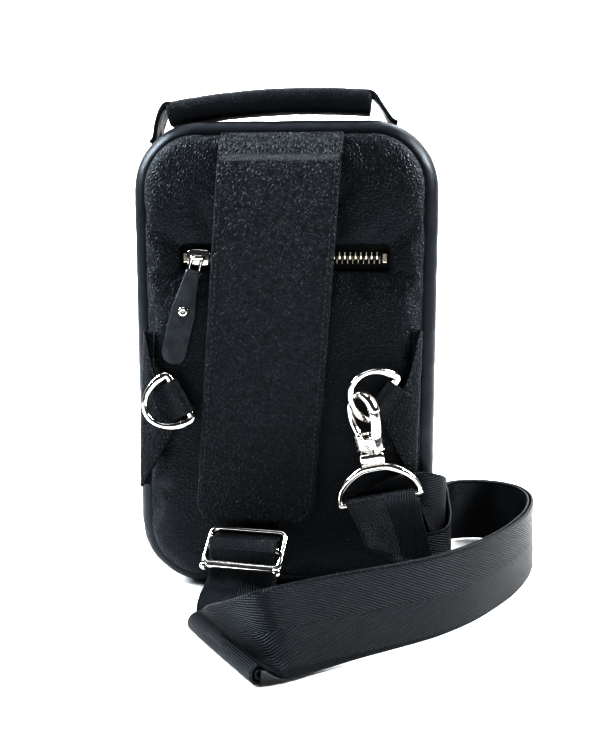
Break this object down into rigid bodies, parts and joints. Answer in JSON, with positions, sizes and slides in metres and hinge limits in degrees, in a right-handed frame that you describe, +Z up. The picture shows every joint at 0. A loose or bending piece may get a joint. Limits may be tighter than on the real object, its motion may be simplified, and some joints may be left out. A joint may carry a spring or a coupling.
{
  "type": "sling bag",
  "caption": "Leather sling bag with a zipped compartment, rear zip pocket, wide shoulder strap, side wings with D-rings, and a webbing strap on a swivel snap hook.",
  "frame": {"origin": "middle of the flat base, on the surface that the bag stands on", "axes": "+Z up along the bag's height; -Y out of the carrying side with the shoulder strap; +X to the right when looking at that side"},
  "size_m": [0.2277, 0.2153, 0.2678],
  "materials": {
    "leather": "pebbled black, semi-gloss",
    "nickel": "polished nickel plate",
    "teeth": "pale gold nickel, satin",
    "tape": "woven polyester zip tape",
    "foam": "matt foam and board",
    "lining": "woven lining",
    "webbing": "herringbone nylon, slight gloss"
  },
  "bodies": {
    "root": {"back_panel": "leather", "back_foam": "foam", "back_pocket_bag": "lining", "back_zip_tape_upper": "tape", "back_zip_tape_lower": "tape", "back_zip_teeth_upper": "teeth", "back_zip_teeth_lower": "teeth", "back_zip_stop_left": "teeth", "back_zip_stop_right": "teeth", "gusset_rear": "leather", "gusset_lower": "leather", "front_panel_lower": "leather", "lining_back": "lining", "lining_rear_wall": "lining", "base_board": "foam", "main_zip_tape_rear": "tape", "main_zip_teeth_rear": "teeth", "shoulder_strap": "leather", "strap_backing": "lining", "handle_strap_left": "leather", "handle_strap_right": "leather", "wing_left": "leather", "wing_right": "leather", "ring_loop_left": "leather", "ring_loop_right": "leather", "webbing": "webbing"},
    "front_leaf": {"gusset_front": "leather", "front_panel": "leather", "front_foam": "foam", "lining_front": "lining", "front_pocket_panel": "leather", "front_zip_tape": "tape", "front_zip_teeth": "teeth", "main_zip_tape_front": "tape", "main_zip_teeth_front": "teeth"},
    "front_slider": {"front_zip_slider": "nickel"},
    "front_pull": {"front_zip_pull": "leather"},
    "main_slider": {"main_zip_slider": "nickel"},
    "main_pull": {"main_zip_pull": "leather"},
    "back_slider": {"back_zip_slider": "nickel"},
    "back_link": {"back_zip_link": "nickel"},
    "back_pull": {"back_zip_pull": "leather", "back_zip_pull_rivet": "nickel"},
    "handle": {"handle_grip": "leather", "handle_core": "foam"},
    "ring_left": {"d_ring_left": "nickel"},
    "ring_right": {"d_ring_right": "nickel"},
    "bail": {"bail": "nickel", "bail_saddle": "nickel"},
    "hook": {"swivel_post": "nickel", "hook_body": "nickel", "hook_bow": "nickel", "gate_pin": "nickel"},
    "gate": {"hook_gate": "nickel"},
    "adjuster": {"adjuster_frame": "nickel", "adjuster_bar": "nickel"}
  },
  "joints": [
    {"name": "back_zip_slide", "type": "slide", "parent": "root", "child": "back_slider", "axis": [1, 0, 0], "range_m": [0, 0.088]},
    {"name": "back_link_sway", "type": "hinge", "parent": "back_slider", "child": "back_link", "pos_m": [-0.045, -0.0382, 0.1783], "axis": [0, 1, 0], "range_deg": [-18, 4]},
    {"name": "back_pull_lift", "type": "hinge", "parent": "back_link", "child": "back_pull", "pos_m": [-0.0465, -0.0404, 0.17228], "axis": [-0.9703, 0, 0.2419], "range_deg": [0, 80]},
    {"name": "main_zip_slide", "type": "slide", "parent": "root", "child": "main_slider", "axis": [0, 0, 1], "range_m": [0, 0.138]},
    {"name": "main_pull_lift", "type": "hinge", "parent": "main_slider", "child": "main_pull", "pos_m": [-0.0843, 0.0085, 0.067], "axis": [0, 1, 0], "range_deg": [0, 90]},
    {"name": "front_leaf_open", "type": "hinge", "parent": "root", "child": "front_leaf", "pos_m": [0, 0.0355, 0.058], "axis": [-1, 0, 0], "range_deg": [0, 40]},
    {"name": "front_zip_slide", "type": "slide", "parent": "front_leaf", "child": "front_slider", "axis": [1, 0, 0], "range_m": [0, 0.088]},
    {"name": "front_pull_lift", "type": "hinge", "parent": "front_slider", "child": "front_pull", "pos_m": [-0.044, 0.0425, 0.179], "axis": [1, 0, 0], "range_deg": [0, 100]},
    {"name": "handle_lift", "type": "slide", "parent": "root", "child": "handle", "axis": [0, 0, 1], "range_m": [0, 0.008]},
    {"name": "d_ring_left_swing", "type": "hinge", "parent": "root", "child": "ring_left", "pos_m": [-0.053, -0.0452, 0.108], "axis": [-0.4961, 0, 0.8682], "range_deg": [0, 120]},
    {"name": "d_ring_right_swing", "type": "hinge", "parent": "root", "child": "ring_right", "pos_m": [0.0526, -0.0452, 0.1083], "axis": [-0.5561, 0, -0.8311], "range_deg": [-4, 4]},
    {"name": "bail_swing", "type": "hinge", "parent": "root", "child": "bail", "pos_m": [0.052, -0.0495, 0.0565], "axis": [0.9781, 0, 0.2079], "range_deg": [-2, 2]},
    {"name": "hook_swivel", "type": "hinge", "parent": "bail", "child": "hook", "pos_m": [0.052, -0.0495, 0.0565], "axis": [-0.2079, 0, 0.9781], "range_deg": [-4, 4]},
    {"name": "gate_hinge", "type": "hinge", "parent": "hook", "child": "gate", "pos_m": [0.0491, -0.05233, 0.08758], "axis": [-0.6022, -0.788, -0.128], "range_deg": [0, 20], "stiffness_Nm_per_rad": 0.004},
    {"name": "adjuster_rock", "type": "hinge", "parent": "root", "child": "adjuster", "pos_m": [-0.0181, -0.0555, 0.0301], "axis": [0.9664, -0.2552, 0.0319], "range_deg": [0, 3]}
  ],
  "couplings": [
    {"joint": "d_ring_right_swing", "follows": "bail_swing", "ratio": -2}
  ]
}
